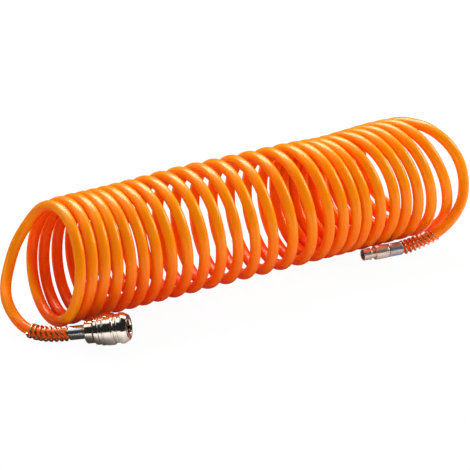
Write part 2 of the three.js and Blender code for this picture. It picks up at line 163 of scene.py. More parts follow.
class Shader:
    """A node tree that is built by calls, each adding one node."""

    def __init__(self, tree: bpy.types.NodeTree) -> None:
        """Empties the tree.

        Args:
            tree: the node tree of a material or of the world.
        """
        self.tree = tree
        tree.nodes.clear()

    def node(
        self,
        kind: str,
        settings: Optional[Mapping[str, Any]] = None,
        inputs: Optional[Mapping[Union[str, int], Any]] = None,
    ) -> bpy.types.Node:
        """Adds a node.

        Args:
            kind: its type.
            settings: its own settings, set first.
            inputs: the values or links of its sockets.

        Returns:
            The new node.
        """
        node = self.tree.nodes.new(kind)
        for name, setting in (settings or {}).items():
            setattr(node, name, setting)
        for key, value in (inputs or {}).items():
            socket = node.inputs[key]
            if isinstance(value, Value):
                self.tree.links.new(value.socket, socket)
            elif isinstance(value, bpy.types.NodeSocket):
                self.tree.links.new(value, socket)
            else:
                socket.default_value = value
        return node

    def value(self, socket: bpy.types.NodeSocket) -> Value:
        """A socket wrapped for arithmetic."""
        return Value(self, socket)

    def mix(self, factor: Any, low: Any, high: Any) -> bpy.types.NodeSocket:
        """Two colours mixed.

        Args:
            factor: how much of the second.
            low: the first colour.
            high: the second colour.

        Returns:
            The colour socket.
        """
        node = self.node("ShaderNodeMix", {"data_type": "RGBA"}, {0: factor, 6: low, 7: high})
        return node.outputs[2]

    def noise(
        self, vector: Any, scale: float, detail: float = 2.0, roughness: float = 0.5
    ) -> Value:
        """Noise between 0 and 1.

        Args:
            vector: the coordinates.
            scale: features to the metre.
            detail: octaves.
            roughness: weight of the finer octaves.

        Returns:
            The noise.
        """
        inputs = {"Vector": vector, "Scale": scale, "Detail": detail, "Roughness": roughness}
        return self.value(self.node("ShaderNodeTexNoise", {}, inputs).outputs[0])

    def bump(self, height: Value, strength: float, distance: float) -> bpy.types.NodeSocket:
        """A normal from a height.

        Args:
            height: the height, 0 to 1.
            strength: how much of it.
            distance: metres that a height of 1 stands for.

        Returns:
            The normal socket.
        """
        inputs = {"Height": height, "Strength": strength, "Distance": distance}
        return self.node("ShaderNodeBump", {}, inputs).outputs[0]

    def lean(
        self, vector: Any, place: Vector, turn: Euler, stretch: Vector
    ) -> bpy.types.NodeSocket:
        """Coordinates centred on a turned assembly, and stretched.

        Args:
            vector: the object's coordinates.
            place: the assembly's middle.
            turn: its direction.
            stretch: scale along its own axes.

        Returns:
            The coordinates in the assembly's own directions.
        """
        inputs = {"Vector": vector, "Location": place, "Rotation": turn}
        own = self.node("ShaderNodeMapping", {"vector_type": "TEXTURE"}, inputs).outputs[0]
        return self.node("ShaderNodeMapping", {}, {"Vector": own, "Scale": stretch}).outputs[0]


def new_material(name: str) -> tuple[bpy.types.Material, Shader, bpy.types.NodeSocket]:
    """An empty node material.

    Args:
        name: its name.

    Returns:
        The material, its shader and its object coordinates.
    """
    material = bpy.data.materials.new(name)
    material.use_nodes = True
    shader = Shader(material.node_tree)
    place = shader.node("ShaderNodeTexCoord").outputs["Object"]
    return material, shader, place


def principled(shader: Shader, inputs: Mapping[Union[str, int], Any]) -> None:
    """Ends a material in one Principled shader.

    Args:
        shader: the material's shader.
        inputs: the values and links of its sockets.
    """
    surface = shader.node("ShaderNodeBsdfPrincipled", {}, inputs).outputs[0]
    shader.node("ShaderNodeOutputMaterial", {}, {"Surface": surface})


# ------------------------------------------------------------------------------------- placement


@dataclass(frozen=True)
class Axis:
    """Where a turned assembly lies: its own +X runs along its axis."""

    place: Vector
    yaw: float = 0.0
    tilt: float = 0.0

    @property
    def turn(self) -> Euler:
        """Its direction as Euler angles."""
        return Euler((0.0, -math.radians(self.tilt), math.radians(self.yaw)))

    @property
    def matrix(self) -> Matrix:
        """From its own frame to the scene's."""
        return Matrix.Translation(self.place) @ self.turn.to_matrix().to_4x4()

    @property
    def ahead(self) -> Vector:
        """The direction of its own +X."""
        return self.turn.to_matrix().col[0].copy()

    def at(self, along: float) -> Vector:
        """The point of the axis at a distance along it."""
        return self.place + self.ahead * along


COUPLER_AXIS = Axis(Vector((-0.1918, -0.0544, 0.0116)), yaw=-41.0, tilt=11.0)
PLUG_AXIS = Axis(Vector((0.1068, -0.0377, 0.00695)), yaw=-8.0)


# -------------------------------------------------------------------------------------- finishes


@dataclass(frozen=True)
class HosePlastic:
    """Glossy orange polyurethane, slightly cloudy, with the faint ripple of an extruded tube."""

    colour: tuple[float, float, float, float] = (0.96, 0.26, 0.0, 1.0)
    deep: tuple[float, float, float, float] = (0.93, 0.19, 0.0, 1.0)
    # painted shade: the deep red that the coil's inner faces, lower strands and the hose near the
    # floor are painted with
    painted_shade_colour: tuple[float, float, float, float] = (0.98, 0.062, 0.0, 1.0)
    middle: float = 0.056
    outer_face: float = 0.0514
    inner_face: float = 0.0490
    roughness: float = 0.24
    cloud: float = 32.0
    ripple: float = 240.0
    scuffs: float = 1500.0

    def material(self) -> bpy.types.Material:
        """The material."""
        material, shader, place = new_material("orange_hose_plastic")
        cloud = shader.noise(place, self.cloud, 3.0).rise(0.35, 0.7)
        ripple = shader.noise(place, self.ripple, 1.0)
        scuffs = shader.noise(place, self.scuffs, 4.0, 0.6)
        wear = scuffs.rise(0.55, 0.8) * cloud
        split = shader.node("ShaderNodeSeparateXYZ", {}, {0: place})
        along, across, height = (shader.value(split.outputs[name]) for name in ("X", "Y", "Z"))
        above = height - self.middle
        inward = (across * across + above * above).rise(self.outer_face**2, self.inner_face**2)
        coiled = (
            along.rise(-0.199, -0.192)
            * along.rise(-0.12, 0.0, 1.0, 0.6)
            * along.rise(0.1, 0.19, 1.0, 0.6)
        )
        # Painted shade: the colour turns deep red on the coil's inner faces and towards the bottom
        # of its outer faces, most at the coupler's end and least at the plug's end, and on all the
        # hose close to the floor.
        coil_shade_mask = (inward * 0.78 + (1 - inward) * height.rise(0.09, 0.01) * 0.85) * coiled
        painted_shade_mask = coil_shade_mask + (1 - coil_shade_mask) * height.rise(0.017, 0.011) * 0.7
        plain = shader.mix(cloud * 0.45, self.colour, self.deep)
        inputs = {
            "Base Color": shader.mix(painted_shade_mask, plain, self.painted_shade_colour),
            "Roughness": wear * 0.18 + ripple * 0.06 + (self.roughness - 0.03),
            "IOR": 1.46,
            "Specular Tint": (1.0, 0.74, 0.4, 1.0),
            "Subsurface Weight": 0.2,
            "Subsurface Radius": (1.0, 0.3, 0.03),
            "Subsurface Scale": 0.003,
            "Normal": shader.bump(ripple * 0.7 + scuffs * 0.3, 0.12, 0.0004),
        }
        principled(shader, inputs)
        return material


@dataclass(frozen=True)
class TurnedMetal:
    """Turned and plated metal: fine rings round its axis, small scratches and dull spots."""

    name: str
    colour: tuple[float, float, float, float]
    dull: tuple[float, float, float, float]
    roughness: float
    marks: float
    axis: Axis

    def material(self) -> bpy.types.Material:
        """The material."""
        material, shader, place = new_material(self.name)
        rings_at = shader.lean(place, self.axis.place, self.axis.turn, Vector((1.0, 0.02, 0.02)))
        scratch_at = shader.lean(place, self.axis.place, self.axis.turn, Vector((0.25, 1.0, 1.0)))
        rings = shader.noise(rings_at, 5200.0, 2.0)
        scratches = shader.noise(scratch_at, 2600.0, 3.0, 0.7).rise(0.6, 0.72)
        spots = shader.noise(place, 260.0, 4.0, 0.6).rise(0.45, 0.75)
        inputs = {
            "Base Color": shader.mix(spots * 0.5, self.colour, self.dull),
            "Metallic": 1.0,
            "Roughness": spots * 0.1 + scratches * 0.08 + self.roughness,
            "Normal": shader.bump(rings * 0.8 + scratches * 0.2, self.marks, 0.00005),
        }
        principled(shader, inputs)
        return material


@dataclass(frozen=True)
class DrawnWire:
    """Bright drawn spring wire; its orange tint is a painted reflection of the orange hose."""

    # painted reflection: the orange and red-brown of these colours stand in for the orange hose
    # mirrored in the wire
    colour: tuple[float, float, float, float] = (0.95, 0.45, 0.26, 1.0)
    dull: tuple[float, float, float, float] = (0.56, 0.22, 0.11, 1.0)
    roughness: float = 0.22

    def material(self) -> bpy.types.Material:
        """The material."""
        material, shader, place = new_material("drawn_spring_wire")
        patches = shader.noise(place, 400.0, 4.0, 0.6).rise(0.4, 0.8)
        grain = shader.noise(place, 4000.0, 2.0)
        inputs = {
            "Base Color": shader.mix(patches * 0.6, self.colour, self.dull),
            "Metallic": 1.0,
            "Roughness": patches * 0.14 + self.roughness,
            "Normal": shader.bump(grain, 0.1, 0.00003),
        }
        principled(shader, inputs)
        return material


@dataclass(frozen=True)
class SealRubber:
    """Black nitrile rubber with a slight bloom."""

    colour: tuple[float, float, float, float] = (0.012, 0.012, 0.013, 1.0)
    bloom: tuple[float, float, float, float] = (0.04, 0.038, 0.036, 1.0)

    def material(self) -> bpy.types.Material:
        """The material."""
        material, shader, place = new_material("seal_rubber")
        bloom = shader.noise(place, 500.0, 4.0, 0.6).rise(0.5, 0.8)
        grain = shader.noise(place, 5000.0, 2.0)
        inputs = {
            "Base Color": shader.mix(bloom, self.colour, self.bloom),
            "Roughness": bloom * 0.15 + 0.45,
            "Normal": shader.bump(grain, 0.15, 0.00003),
        }
        principled(shader, inputs)
        return material


NICKEL = (0.80, 0.735, 0.655, 1.0)
NICKEL_DULL = (0.66, 0.585, 0.50, 1.0)
PALE_NICKEL = (0.95, 0.87, 0.75, 1.0)
ZINC = (0.60, 0.63, 0.67, 1.0)
ZINC_DULL = (0.46, 0.48, 0.51, 1.0)
BRASS = (0.78, 0.57, 0.26, 1.0)
BRASS_DULL = (0.56, 0.40, 0.20, 1.0)


class Finishes:
    """Every material of the object, made once."""

    def __init__(self) -> None:
        """Makes the materials."""
        self.hose = HosePlastic().material()
        self.wire = DrawnWire().material()
        self.rubber = SealRubber().material()
        self.coupler_nickel = self.turned("coupler_nickel", NICKEL, NICKEL_DULL, 0.1, COUPLER_AXIS)
        self.coupler_zinc = self.turned("coupler_zinc", ZINC, ZINC_DULL, 0.24, COUPLER_AXIS)
        self.brass = self.turned("coupler_brass", BRASS, BRASS_DULL, 0.22, COUPLER_AXIS)
        self.plug_nickel = self.turned("plug_nickel", PALE_NICKEL, NICKEL, 0.36, PLUG_AXIS)
        self.plug_zinc = self.turned("plug_zinc", ZINC, ZINC_DULL, 0.33, PLUG_AXIS)

    @staticmethod
    def turned(
        name: str, colour: tuple, dull: tuple, roughness: float, axis: Axis
    ) -> bpy.types.Material:
        """One turned metal.

        Args:
            name: the material's name.
            colour: its clean colour.
            dull: the colour of its dull spots.
            roughness: its clean roughness.
            axis: the axis that it is turned about.

        Returns:
            The material.
        """
        return TurnedMetal(name, colour, dull, roughness, 0.25, axis).material()


# ---------------------------------------------------------------------------------- mesh helpers


def dress(obj: bpy.types.Object, material: bpy.types.Material) -> bpy.types.Object:
    """Puts a new piece in the scene with its material.

    Args:
        obj: the piece.
        material: its material.

    Returns:
        The same piece.
    """
    bpy.context.scene.collection.objects.link(obj)
    obj.data.materials.clear()
    obj.data.materials.append(material)
    return obj


def stand(
    obj: bpy.types.Object, material: bpy.types.Material, body: str
) -> bpy.types.Object:
    """Puts a new piece in the scene, dressed and riding on its body.

    Args:
        obj: the piece.
        material: its material.
        body: the name of its body.

    Returns:
        The same piece.
    """
    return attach(dress(obj, material), body)


def mesh_object(name: str, bm: bmesh.types.BMesh, matrix: Matrix) -> bpy.types.Object:
    """A smooth-shaded object of a bmesh, which is freed.

    Args:
        name: the object's name.
        bm: the shape in its own frame.
        matrix: from that frame to the scene's.

    Returns:
        The object, with its place in its mesh.
    """
    bmesh.ops.transform(bm, matrix=matrix, verts=bm.verts)
    for face in bm.faces:
        face.smooth = True
    mesh = bpy.data.meshes.new(name)
    bm.to_mesh(mesh)
    bm.free()
    obj = bpy.data.objects.new(name, mesh)
    log.info("%s: %d faces", name, len(mesh.polygons))
    return obj


def is_rim(edge: bmesh.types.BMEdge) -> bool:
    """Whether an edge runs round the X axis between two faces that meet at a corner."""
    first, second = (vert.co for vert in edge.verts)
    level = abs(first.x - second.x) < 1e-8
    round_it = abs(math.hypot(first.y, first.z) - math.hypot(second.y, second.z)) < 1e-8
    return level and round_it and edge.calc_face_angle(0.0) > math.radians(12)


def turned(outline: Outline, steps: int = 112, edge: float = 0.12) -> bmesh.types.BMesh:
    """A shape turned about X.

    Args:
        outline: [place along the axis, radius] in millimetres. It is closed, unless both of its
            ends lie on the axis.
        steps: segments round it.
        edge: how far its corners are rounded, in millimetres, or 0.

    Returns:
        The closed shape in metres.
    """
    bm = bmesh.new()
    verts = [bm.verts.new((along * MM, radius * MM, 0.0)) for along, radius in outline]
    pairs = list(zip(verts, verts[1:]))
    if outline[0][1] > 0 or outline[-1][1] > 0:
        pairs.append((verts[-1], verts[0]))
    edges = [bm.edges.new(pair) for pair in pairs]
    geometry = verts + edges
    bmesh.ops.spin(
        bm,
        geom=geometry,
        cent=(0, 0, 0),
        axis=(1, 0, 0),
        angle=math.tau,
        steps=steps,
        use_merge=True,
    )
    bmesh.ops.remove_doubles(bm, verts=bm.verts, dist=1e-7)
    bmesh.ops.recalc_face_normals(bm, faces=bm.faces)
    if edge > 0:
        rims = [rim for rim in bm.edges if is_rim(rim)]
        bmesh.ops.bevel(
            bm,
            geom=rims,
            offset=edge * MM,
            offset_type="OFFSET",
            segments=3,
            profile=0.5,
            affect="EDGES",
            clamp_overlap=True,
            material=-1,
        )
    return bm


def even_normals(obj: bpy.types.Object) -> None:
    """Weights a piece's normals by face area, so that flats stay flat beside rounded edges."""
    modifier = obj.modifiers.new("even", "WEIGHTED_NORMAL")
    modifier.keep_sharp = True


# ------------------------------------------------------------------------------------------ hose


@dataclass(frozen=True)
class Station:
    """The coil's shape at one turn, in millimetres.

    It gives the turn's place along X, its lean, its swing, its radius and how far the half turn
    behind it is pushed along X.
    """

    turn: float
    along: float
    lean: float
    swing: float
    radius: float
    far: float


@dataclass
class Coil:
    """The loose coil: a helix whose pitch, lean and swing change along it."""

    hose: float = 10.0
    points_per_turn: int = 16
    stations: tuple[Station, ...] = (
        Station(1, -196.5, -8.5, 2, 51, -2.2),
        Station(3, -172, -9.2, 2.7, 51.1, -2.8),
        Station(5, -146, -4, 2.1, 51, -2.6),
        Station(8, -106.8, -1, 1, 51.3, -1.5),
        Station(11, -56.4, -0.3, 2, 52.1, -0.3),
        Station(14, 0, 1.5, 4.6, 51.8, -1.1),
        Station(17, 56.4, 1, 0.2, 51.4, -0.2),
        Station(19, 82.5, 0.5, -4.2, 50.8, 0.7),
        Station(20.5, 99.2, 0.7, -6.1, 50.5, 1.4),
        Station(22, 120.6, -0.6, -8.6, 50.9, -1),
        Station(24, 147, 1.3, -7.8, 51.5, -7),
        Station(25.5, 168.8, 3.5, -7.9, 51.8, -12.9),
        Station(27, 195, 7.5, -9.5, 51.4, -19.6),
    )

    def slope(self, index: int, name: str) -> float:
        """How fast one quantity changes at a station.

        Args:
            index: the station's place in the list.
            name: the quantity.

        Returns:
            Its change to the turn.
        """
        before = self.stations[max(index - 1, 0)]
        after = self.stations[min(index + 1, len(self.stations) - 1)]
        return (getattr(after, name) - getattr(before, name)) / (after.turn - before.turn)

    def read(self, turn: float, name: str) -> float:
        """One quantity at any turn, on a smooth curve through the stations.

        Args:
            turn: the turn.
            name: the quantity.

        Returns:
            Its value in millimetres.
        """
        index = 0
        while index < len(self.stations) - 2 and self.stations[index + 1].turn <= turn:
            index += 1
        low, high = self.stations[index], self.stations[index + 1]
        span = high.turn - low.turn
        t = (turn - low.turn) / span
        rise = 3 * t**2 - 2 * t**3
        level = getattr(low, name) * (1 - rise) + getattr(high, name) * rise
        leaving = (t**3 - 2 * t**2 + t) * span * self.slope(index, name)
        arriving = (t**3 - t**2) * span * self.slope(index + 1, name)
        return level + leaving + arriving

    def at(self, turn: float) -> Vector:
        """The hose's middle at a turn, which is a whole number at the top, in metres."""
        angle = math.tau * turn
        radius = self.read(turn, "radius")
        lean = self.read(turn, "lean") * math.cos(angle)
        swing = self.read(turn, "swing") * math.sin(angle)
        far = self.read(turn, "far") * min(math.sin(angle), 0.0) ** 2
        along = self.read(turn, "along") - lean - swing + far
        height = self.hose / 2 + radius + radius * math.cos(angle)
        return Vector((along, -radius * math.sin(angle), height)) * MM

    def points(self) -> list[Vector]:
        """The points of all the turns."""
        first, last = self.stations[0].turn, self.stations[-1].turn
        count = round((last - first) * self.points_per_turn)
        return [self.at(first + (last - first) * i / count) for i in range(count + 1)]


COUPLER_TAIL = (
    (-0.2208, -0.0312, 0.0072),
    (-0.2293, -0.0179, 0.0077),
    (-0.2332, -0.0012, 0.0129),
    (-0.2333, 0.0145, 0.0226),
    (-0.2273, 0.0287, 0.0311),
    (-0.2187, 0.0387, 0.0425),
    (-0.2087, 0.0437, 0.0600),
    (-0.1972, 0.0393, 0.0810),
    (-0.1908, 0.0238, 0.0997),
)
PLUG_TAIL = (
    (0.1915, -0.0143, 0.1081),
    (0.1969, -0.0284, 0.1033),
    (0.2033, -0.0398, 0.0930),
    (0.2084, -0.0466, 0.0783),
    (0.2089, -0.0520, 0.0624),
    (0.2034, -0.0574, 0.0475),
    (0.1930, -0.0592, 0.0340),
    (0.1831, -0.0562, 0.0231),
    (0.1744, -0.0514, 0.0160),
    (0.1650, -0.0468, 0.0110),
)


class Route:
    """A smooth route through points, with the bent handles that its curve gets."""

    SHARE = 0.336  # of the distance to the next point, for handles that follow a circle

    def __init__(self, points: Sequence[Vector]) -> None:
        """Works out the handles.

        Args:
            points: the points that the route passes.
        """
        self.points = list(points)
        self.handles = [self.pair(i) for i in range(len(self.points))]

    def heading(self, index: int) -> Vector:
        """The direction of the route at a point.

        Args:
            index: the point's place in the list.

        Returns:
            The unit vector.
        """
        here = self.points[index]
        if index == 0:
            return (self.points[1] - here).normalized()
        if index == len(self.points) - 1:
            return (here - self.points[-2]).normalized()
        before = here - self.points[index - 1]
        after = self.points[index + 1] - here
        return (before / before.length_squared + after / after.length_squared).normalized()

    def pair(self, index: int) -> tuple[Vector, Vector]:
        """The two handles of a point.

        Args:
            index: the point's place in the list.

        Returns:
            The handle behind it and the handle ahead of it.
        """
        here = self.points[index]
        heading = self.heading(index)
        back = (here - self.points[max(index - 1, 0)]).length * self.SHARE
        forward = (self.points[min(index + 1, len(self.points) - 1)] - here).length * self.SHARE
        return here - heading * back, here + heading * forward

    def dense(self, first: int, last: int, steps: int = 12) -> list[Vector]:
        """Close points of a stretch of the route.

        Args:
            first: the point that it starts at.
            last: the point that it ends at.
            steps: close points to each stretch between two points.

        Returns:
            The close points.
        """
        close: list[Vector] = []
        for i in range(first, last):
            _, leave = self.handles[i]
            arrive, _ = self.handles[i + 1]
            here, there = self.points[i], self.points[i + 1]
            close += interpolate_bezier(here, leave, arrive, there, steps + 1)[:-1]
        return close + [self.points[last].copy()]

    def length(self) -> float:
        """The length of the whole route in metres."""
        close = self.dense(0, len(self.points) - 1, 6)
        return sum((b - a).length for a, b in zip(close, close[1:]))


def bezier_tube(
    name: str, route: Route, diameter: float, sides: int, steps: int
) -> bpy.types.Object:
    """A round tube on one smooth curve.

    Args:
        name: the object's name.
        route: its route.
        diameter: its thickness in metres.
        sides: its resolution round the section.
        steps: its resolution between two points.

    Returns:
        The curve object.
    """
    curve = bpy.data.curves.new(name, "CURVE")
    curve.dimensions = "3D"
    curve.resolution_u = steps
    curve.render_resolution_u = steps
    curve.bevel_depth = diameter / 2
    curve.bevel_resolution = sides
    curve.use_fill_caps = True
    spline = curve.splines.new("BEZIER")
    spline.bezier_points.add(len(route.points) - 1)
    for knot, here, (back, forward) in zip(spline.bezier_points, route.points, route.handles):
        knot.handle_left_type = knot.handle_right_type = "FREE"
        knot.co, knot.handle_left, knot.handle_right = here, back, forward
    spline.use_smooth = True
    return bpy.data.objects.new(name, curve)


@dataclass
class Hose:
    """The hose: one cord from the coupler's stem through the coil to the plug's tail."""

    diameter: float = 0.010
    coupler_end: float = -0.0025
    coupler_ferrule: float = -0.0152
    plug_end: float = 0.0262
    plug_ferrule: float = 0.0395

    def __post_init__(self) -> None:
        """Lays the route."""
        start = [COUPLER_AXIS.at(self.coupler_end), COUPLER_AXIS.at(self.coupler_ferrule)]
        coil = Coil().points()
        end = [PLUG_AXIS.at(self.plug_ferrule), PLUG_AXIS.at(self.plug_end)]
        tails = [Vector(point) for point in COUPLER_TAIL], [Vector(point) for point in PLUG_TAIL]
        self.route = Route(start + tails[0] + coil + tails[1] + end)
        self.exit = start[1]

    def guard_path(self, at_plug: bool) -> list[Vector]:
        """The hose's middle from a ferrule's mouth outwards.

        Args:
            at_plug: whether it is the plug's ferrule.

        Returns:
            Close points of the first stretch of the tail.
        """
        last = len(self.route.points) - 1
        if at_plug:
            return list(reversed(self.route.dense(last - 5, last - 1)))
        return self.route.dense(1, 5)

    def build(self, material: bpy.types.Material) -> bpy.types.Object:
        """Makes the hose.

        Args:
            material: its plastic.

        Returns:
            The curve object.
        """
        obj = bezier_tube("air_hose", self.route, self.diameter, 10, 4)
        stand(obj, material, Body.HOSE.value)
        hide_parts("hose_coil", "hose_tail_coupler", "hose_tail_plug")
        log.info("air_hose: %.3f m long", self.route.length())
        return obj


@dataclass
class GuardSpring:
    """The wire spring wound round the hose behind a ferrule, right-handed."""

    wire: float = 1.8
    mean: float = 12.1
    pitch: float = 4.4
    turns: float = 8.0
    clear: float = 0.9
    per_turn: int = 12

    def build(
        self,
        name: str,
        node: str,
        path: Sequence[Vector],
        material: bpy.types.Material,
        slump: float = 0.0,
    ) -> bpy.types.Object:
        """Makes the spring.

        Args:
            name: the piece's name.
            node: the CAD node that it stands for.
            path: close points of the hose's middle, from the ferrule outwards.
            material: its wire.
            slump: how far the tops of its turns lean away from the ferrule, in millimetres.

        Returns:
            The curve object.
        """
        count = round(self.turns * self.per_turn)
        points = []
        for i in range(count + 1):
            turn = i / self.per_turn
            middle, ahead = along_path(path, (self.clear + self.pitch * turn) * MM)
            side = Vector((0, 0, 1)).cross(ahead).normalized()
            over = ahead.cross(side)
            angle = math.tau * turn
            ring = (side * math.cos(angle) + over * math.sin(angle)) * self.mean / 2
            settled = min(turn, self.turns - turn, 1.0)
            points.append(middle + (ring + ahead * slump * settled * math.sin(angle)) * MM)
        obj = bezier_tube(name, Route(points), self.wire * MM, 3, 2)
        stand(obj, material, Body.HOSE.value)
        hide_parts(node)
        log.info("%s: %.1f turns", name, self.turns)
        return obj


def along_path(path: Sequence[Vector], distance: float) -> tuple[Vector, Vector]:
    """A place on a path of close points.

    Args:
        path: the close points.
        distance: how far along it.

    Returns:
        The point and the direction there.
    """
    left = distance
    for here, following in zip(path, path[1:]):
        step = following - here
        if left <= step.length:
            return here + step * (left / step.length), step.normalized()
        left -= step.length
    return path[-1].copy(), (path[-1] - path[-2]).normalized()


# --------------------------------------------------------------------------------------- coupler


@dataclass(frozen=True)
class PressSpring:
    """A spring round the coupler's axis, in millimetres."""

    name: str
    node: str
    front_body: Body
    wire: float
    mean: float
    turns: float
    back: float
    front: float
    per_turn: int = 16

    def build(self, axis: Axis, material: bpy.types.Material) -> bpy.types.Object:
        """Makes the spring, with half a flat turn at each end.

        Args:
            axis: the coupler's axis.
            material: its wire.

        Returns:
            The mesh object.
        """
        points = []
        for i in range(round(self.turns * self.per_turn) + 1):
            turn = i / self.per_turn
            share = min(max((turn - 0.5) / (self.turns - 1), 0.0), 1.0)
            angle = math.tau * turn
            ring = Vector((0, math.cos(angle), math.sin(angle))) * self.mean / 2
            ring.x = self.back + (self.front - self.back) * share
            points.append(axis.matrix @ (ring * MM))
        path = bezier_tube(self.name + "_path", Route(points), self.wire * MM, 3, 2)
        mesh = bpy.data.meshes.new_from_object(path)
        mesh.name = self.name
        bpy.data.curves.remove(path.data)
        mesh.polygons.foreach_set("use_smooth", [True] * len(mesh.polygons))
        obj = dress(bpy.data.objects.new(self.name, mesh), material)
        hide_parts(self.node)
        start, end = tuple(axis.at(self.back * MM)), tuple(axis.at(self.front * MM))
        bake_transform(obj)
        log.info("%s: %.1f turns", self.name, self.turns)
        return obj


@dataclass
class Coupler:
    """The quick coupler, in millimetres along its own axis from the back of its rear body."""

    finishes: Finishes
    axis: Axis = COUPLER_AXIS
    length: float = 38.5
    barrel: float = 8.4
    bore: float = 6.5
    mouth: float = 7.4
    sleeve: float = 14.0
    sleeve_back: float = 8.6
    sleeve_front: float = 38.2
    ball: float = 1.8
    ball_at: float = 28.5
    ball_count: int = 4
    springs: tuple[PressSpring, ...] = (
        PressSpring(
            name="sleeve_press",
            node="sleeve_spring",
            front_body=Body.SLEEVE,
            wire=1.2,
            mean=19.45,
            turns=5.5,
            back=8.9,
            front=23.1,
        ),
        PressSpring(
            name="valve_press",
            node="valve_spring",
            front_body=Body.VALVE,
            wire=0.7,
            mean=8.8,
            turns=4.0,
            back=11.15,
            front=17.55,
        ),
    )

    def put(
        self,
        name: str,
        bm: bmesh.types.BMesh,
        material: bpy.types.Material,
        body: str,
        node: str,
    ) -> bpy.types.Object:
        """Places one piece of the coupler.

        Args:
            name: its name.
            bm: its shape in the coupler's own frame.
            material: its material.
            body: the body that it rides on.
            node: the CAD node that it stands for.

        Returns:
            The piece.
        """
        obj = mesh_object(name, bm, self.axis.matrix)
        stand(obj, material, body)
        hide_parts(node)
        even_normals(obj)
        return obj

    def sleeve_outline(self) -> Outline:
        """The sliding sleeve: finger ribs outside; land, ramp and release groove inside."""
        top, front, back = self.sleeve, self.sleeve_front, self.sleeve_back
        rib, groove, bead = top - 0.35, top - 1.7, top - 1.35
        outside = [
            (front, top - 3),
            (front - 3.8, top - 0.7),
            (front - 4.1, top - 0.7),
            (front - 4.5, rib),
            *scoop((front - 7.5, rib), (front - 9.6, bead), groove),
            *scoop((front - 11.1, bead), (front - 13.5, top), groove),
            *scoop((front - 19.8, top), (front - 22, rib), top - 1.4),
            *scoop((front - 24.1, rib), (front - 26.6, bead), groove),
            (back + 0.7, bead),
            (back, groove),
        ]
        inside = [
            (back, 11.05),
            (24.0, 11.05),
            (24.0, 8.8),
            (28.5, 8.8),
            (33.0, 10.7),
            (35.2, 10.7),
            (35.2, 8.8),
            (36.4, 8.8),
            (36.4, 9.9),
            (front, 9.9),
        ]
        return outside + inside

    def build_sleeve(self) -> bpy.types.Object:
        """The sliding sleeve."""
        bm = turned(self.sleeve_outline(), 128, 0.14)
        nickel = self.finishes.coupler_nickel
        return self.put(
            "finger_sleeve", bm, nickel, Body.SLEEVE.value, "coupler_sleeve"
        )

    def build_rear_body(self) -> bpy.types.Object:
        """The rear body with its spigot."""
        outline = [
            (0, 4.2),
            (6.3, 4.2),
            (6.3, 3.2),
            (10.5, 3.2),
            (10.5, 7.2),
            (8, 7.2),
            (8, 9.9),
            (7.2, 10.7),
            (0.8, 10.7),
            (0, 9.9),
        ]
        bm = turned(outline, 128, 0.25)
        nickel = self.finishes.coupler_nickel
        return self.put("rear_body", bm, nickel, Body.HOSE.value, "coupler_rear_body")

    def barrel_outline(self) -> Outline:
        """The barrel: valve chamber, seal groove and bore for the plug."""
        return [
            (8.3, 7.5),
            (10.8, 7.5),
            (10.8, 6.6),
            (20.7, 6.6),
            (20.7, 7.4),
            (23.3, 7.4),
            (23.3, self.bore),
            (self.length - 1.2, self.bore),
            (self.length, self.mouth),
            (self.length, self.barrel),
            (37.9, self.barrel),
            (37.9, 7.7),
            (36.6, 7.7),
            (36.6, self.barrel),
            (8.3, self.barrel),
        ]

    def ball_turn(self, index: int) -> Matrix:
        """The turn about the axis of one ball's place."""
        return Matrix.Rotation(math.tau * (index + 0.5) / self.ball_count, 4, "X")

    def build_barrel(self) -> bpy.types.Object:
        """The barrel, with a hole cut for each ball."""
        obj = mesh_object("socket_barrel", turned(self.barrel_outline(), 112, 0.1), Matrix())
        cutters = bmesh.new()
        for index in range(self.ball_count):
            out = Matrix.Translation((self.ball_at * MM, self.barrel * MM, 0))
            lying = Matrix.Rotation(math.pi / 2, 4, "X")
            radius = (self.ball + 0.3) * MM
            bmesh.ops.create_cone(
                cutters,
                cap_ends=True,
                segments=32,
                radius1=radius,
                radius2=radius,
                depth=2 * (self.barrel - 3) * MM,
                matrix=self.ball_turn(index) @ out @ lying,
            )
        mesh = bpy.data.meshes.new("ball_holes")
        cutters.to_mesh(mesh)
        cutters.free()
        cutter = bpy.data.objects.new("ball_holes", mesh)
        scene = bpy.context.scene.collection.objects
        scene.link(obj)
        scene.link(cutter)
        cut = obj.modifiers.new("holes", "BOOLEAN")
        cut.operation = "DIFFERENCE"
        cut.solver = "EXACT"
        cut.object = cutter
        shaped = bmesh.new()
        shaped.from_object(obj, bpy.context.evaluated_depsgraph_get())
        for old in (obj, cutter):
            data = old.data
            bpy.data.objects.remove(old)
            bpy.data.meshes.remove(data)
        nickel = self.finishes.coupler_nickel
        return self.put(
            "socket_barrel", shaped, nickel, Body.HOSE.value, "coupler_barrel"
        )

    def build_ferrule(self) -> bpy.types.Object:
        """The crimped ferrule over the hose."""
        bm = turned(ferrule_outline(-15.2, -2.2), 96, 0.12)
        zinc = self.finishes.coupler_zinc
        return self.put("rear_ferrule", bm, zinc, Body.HOSE.value, "coupler_ferrule")

    def build_poppet(self) -> bpy.types.Object:
        """The valve poppet."""
        outline = [
            (21.8, 0),
            (21.8, 4.05),
            (20.6, 4.4),
            (20.6, 5.75),
            (20.25, 6.1),
            (18.2, 6.1),
            (18.2, 2.2),
            (11.85, 2.2),
            (11.5, 1.85),
            (11.5, 0),
        ]
        bm = turned(outline, 64, 0.1)
        return self.put(
            "poppet", bm, self.finishes.brass, Body.VALVE.value, "valve_poppet"
        )

    def build_seal(self) -> bpy.types.Object:
        """The front seal."""
        outline = [(21, 5.35), (21.5, 5), (22.5, 5), (23, 5.35), (23, 7.1), (21, 7.1)]
        bm = turned(outline, 96, 0.2)
        rubber = self.finishes.rubber
        return self.put("nose_seal", bm, rubber, Body.HOSE.value, "front_seal")

